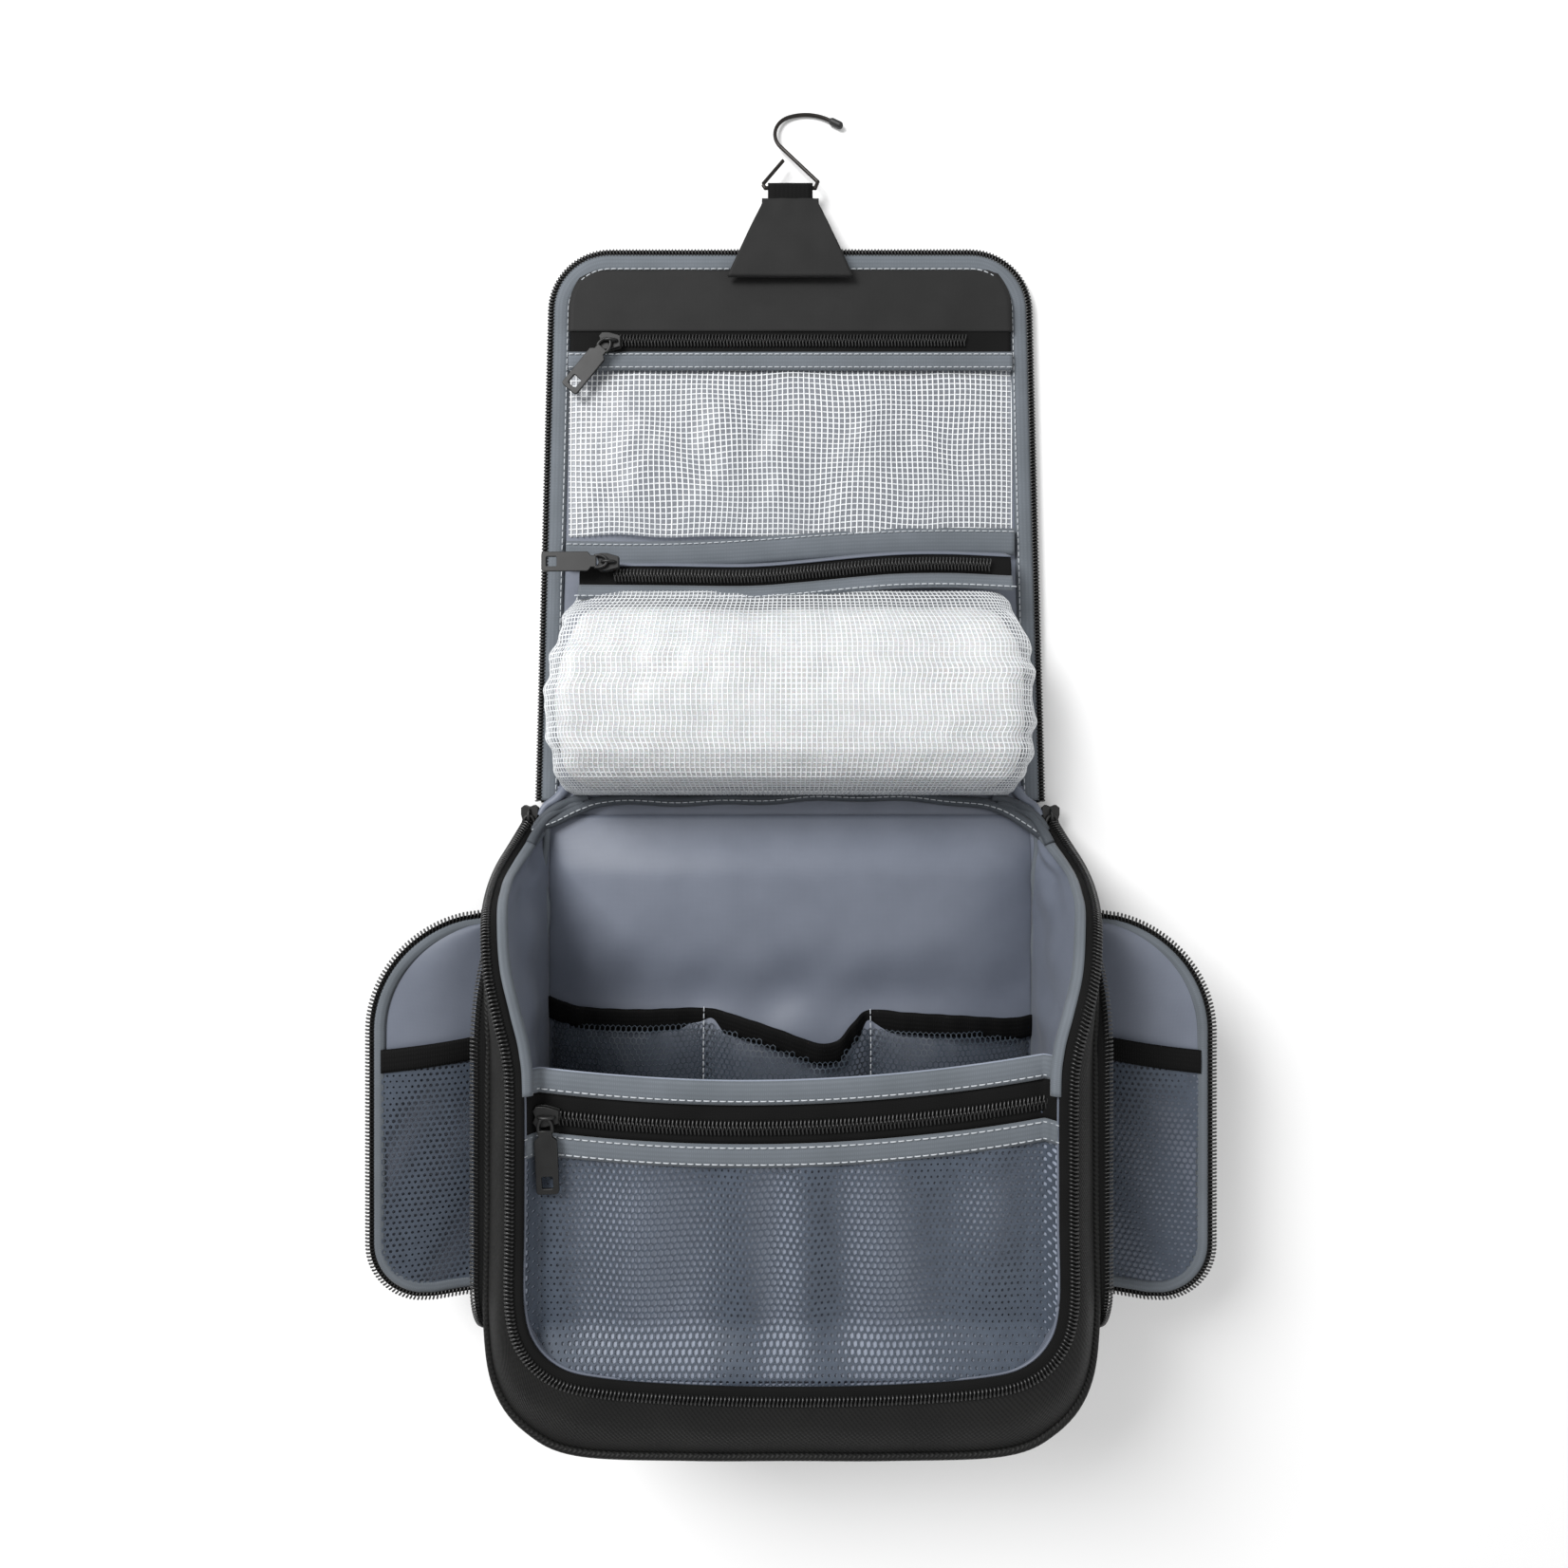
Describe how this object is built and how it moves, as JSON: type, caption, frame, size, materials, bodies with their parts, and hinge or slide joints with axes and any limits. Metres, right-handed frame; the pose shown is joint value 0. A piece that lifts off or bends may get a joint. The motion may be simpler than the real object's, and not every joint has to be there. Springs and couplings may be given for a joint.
{
  "type": "hanging toiletry bag",
  "caption": "Fold-open hanging toiletry bag with a zipped box compartment, a lid with clear pockets, mesh-lined side doors and a wire hook on a tab.",
  "frame": {"origin": "centre of the back panel's outer face, which lies on the floor", "axes": "+X to the right across the bag, +Y from the bottom towards the hook, +Z out of the open front"},
  "size_m": [0.369, 0.5917, 0.107],
  "materials": {
    "twill": "black polyester twill",
    "nylon": "black nylon",
    "lining": "blue-grey nylon lining",
    "grey_binding": "grey grosgrain binding",
    "mesh": "blue-grey hexagonal mesh",
    "elastic": "black knitted elastic",
    "zip": "black coil zip",
    "zip_metal": "black painted zinc",
    "clear": "clear PVC with a white grid",
    "tissue": "white tissue",
    "hook_steel": "dark coated steel wire",
    "tip_rubber": "moulded tip"
  },
  "bodies": {
    "compartment": {"back_panel": "nylon", "back_lining": "lining", "bottom_shell": "twill", "bottom_lining": "lining", "side_shell_left": "twill", "side_shell_right": "twill", "side_lining_left": "lining", "side_lining_right": "lining", "side_zip_left": "zip", "side_zip_right": "zip", "front_border": "twill", "bottom_piping": "twill", "main_zip_body": "zip", "front_wall": "lining", "front_mesh": "mesh", "front_bands": "grey_binding", "front_pocket_zip": "zip", "back_mesh_pocket": "mesh", "back_pocket_elastic": "elastic", "hinge_binding": "grey_binding", "main_sliders": "zip_metal", "side_sliders": "zip_metal"},
    "lid_lower": {"lid_lower_shell": "nylon", "lid_lower_lining": "lining", "lid_lower_zip": "zip", "pouch_cover": "clear", "pouch_filling": "tissue", "pouch_zip": "zip"},
    "lid_upper": {"lid_upper_shell": "nylon", "lid_upper_lining": "lining", "lid_upper_zip": "zip", "lid_binding": "grey_binding", "top_panel": "nylon", "clear_pocket_zip": "zip", "clear_pocket_bands": "grey_binding", "clear_pane": "clear"},
    "tab": {"hook_tab": "nylon", "hook_loop": "elastic"},
    "hook": {"hook_wire": "hook_steel", "hook_tip": "tip_rubber"},
    "wing_left": {"wing_shell_left": "nylon", "wing_lining_left": "lining", "wing_mesh_left": "mesh", "wing_elastic_left": "elastic", "wing_zip_left": "zip"},
    "wing_right": {"wing_shell_right": "nylon", "wing_lining_right": "lining", "wing_mesh_right": "mesh", "wing_elastic_right": "elastic", "wing_zip_right": "zip"},
    "front_slider": {"front_slider": "zip_metal"},
    "front_pull": {"front_pull": "zip_metal"},
    "clear_slider": {"clear_slider": "zip_metal"},
    "clear_pull": {"clear_pull": "zip_metal"},
    "pouch_slider": {"pouch_slider": "zip_metal"},
    "pouch_pull": {"pouch_pull": "zip_metal"},
    "main_pull_left": {"main_pull_left": "zip_metal"},
    "main_pull_right": {"main_pull_right": "zip_metal"},
    "side_pull_left": {"side_pull_left": "zip_metal"},
    "side_pull_right": {"side_pull_right": "zip_metal"}
  },
  "joints": [
    {"name": "lid_lower_fold", "type": "hinge", "parent": "compartment", "child": "lid_lower", "pos_m": [0, 0.127, 0.004], "axis": [1, 0, 0], "range_deg": [0, 125]},
    {"name": "lid_upper_fold", "type": "hinge", "parent": "lid_lower", "child": "lid_upper", "pos_m": [0, 0.257, 0.004], "axis": [1, 0, 0], "range_deg": [0, 55]},
    {"name": "tab_fold", "type": "hinge", "parent": "lid_upper", "child": "tab", "pos_m": [0, 0.3825, 0.0077], "axis": [1, 0, 0], "range_deg": [0, 170]},
    {"name": "hook_swing", "type": "hinge", "parent": "tab", "child": "hook", "pos_m": [0, 0.4245, 0.0086], "axis": [1, 0, 0], "range_deg": [-90, 22]},
    {"name": "wing_fold_left", "type": "hinge", "parent": "compartment", "child": "wing_left", "pos_m": [-0.1282, 0, 0.037], "axis": [0, 1, 0], "range_deg": [0, 71.5]},
    {"name": "wing_fold_right", "type": "hinge", "parent": "compartment", "child": "wing_right", "pos_m": [0.1282, 0, 0.037], "axis": [0, -1, 0], "range_deg": [0, 71.5]},
    {"name": "front_zip_travel", "type": "slide", "parent": "compartment", "child": "front_slider", "axis": [1, 0, 0], "range_m": [0, 0.19]},
    {"name": "front_pull_swing", "type": "hinge", "parent": "front_slider", "child": "front_pull", "pos_m": [-0.0965, 0.0085, 0.103], "axis": [1, 0, 0], "range_deg": [-150, 0]},
    {"name": "clear_zip_travel", "type": "slide", "parent": "lid_upper", "child": "clear_slider", "axis": [1, 0, 0], "range_m": [0, 0.165]},
    {"name": "clear_pull_swing", "type": "hinge", "parent": "clear_slider", "child": "clear_pull", "pos_m": [-0.086, 0.35, 0.0129], "axis": [0.766, -0.6428, 0], "range_deg": [-150, 0]},
    {"name": "pouch_zip_travel", "type": "slide", "parent": "lid_lower", "child": "pouch_slider", "axis": [1, 0, 0], "range_m": [0, 0.165]},
    {"name": "pouch_pull_swing", "type": "hinge", "parent": "pouch_slider", "child": "pouch_pull", "pos_m": [-0.084, 0.241, 0.031], "axis": [0, 1, 0], "range_deg": [0, 150]},
    {"name": "main_pull_swing_left", "type": "hinge", "parent": "compartment", "child": "main_pull_left", "pos_m": [-0.1245, 0.123, 0.0117], "axis": [-1, 0, 0], "range_deg": [0, 150]},
    {"name": "main_pull_swing_right", "type": "hinge", "parent": "compartment", "child": "main_pull_right", "pos_m": [0.1245, 0.123, 0.0117], "axis": [-1, 0, 0], "range_deg": [0, 150]},
    {"name": "side_pull_swing_left", "type": "hinge", "parent": "compartment", "child": "side_pull_left", "pos_m": [-0.1258, -0.093, 0.04], "axis": [0, 1, 0], "range_deg": [0, 100]},
    {"name": "side_pull_swing_right", "type": "hinge", "parent": "compartment", "child": "side_pull_right", "pos_m": [0.1258, -0.093, 0.04], "axis": [0, -1, 0], "range_deg": [0, 100]}
  ]
}
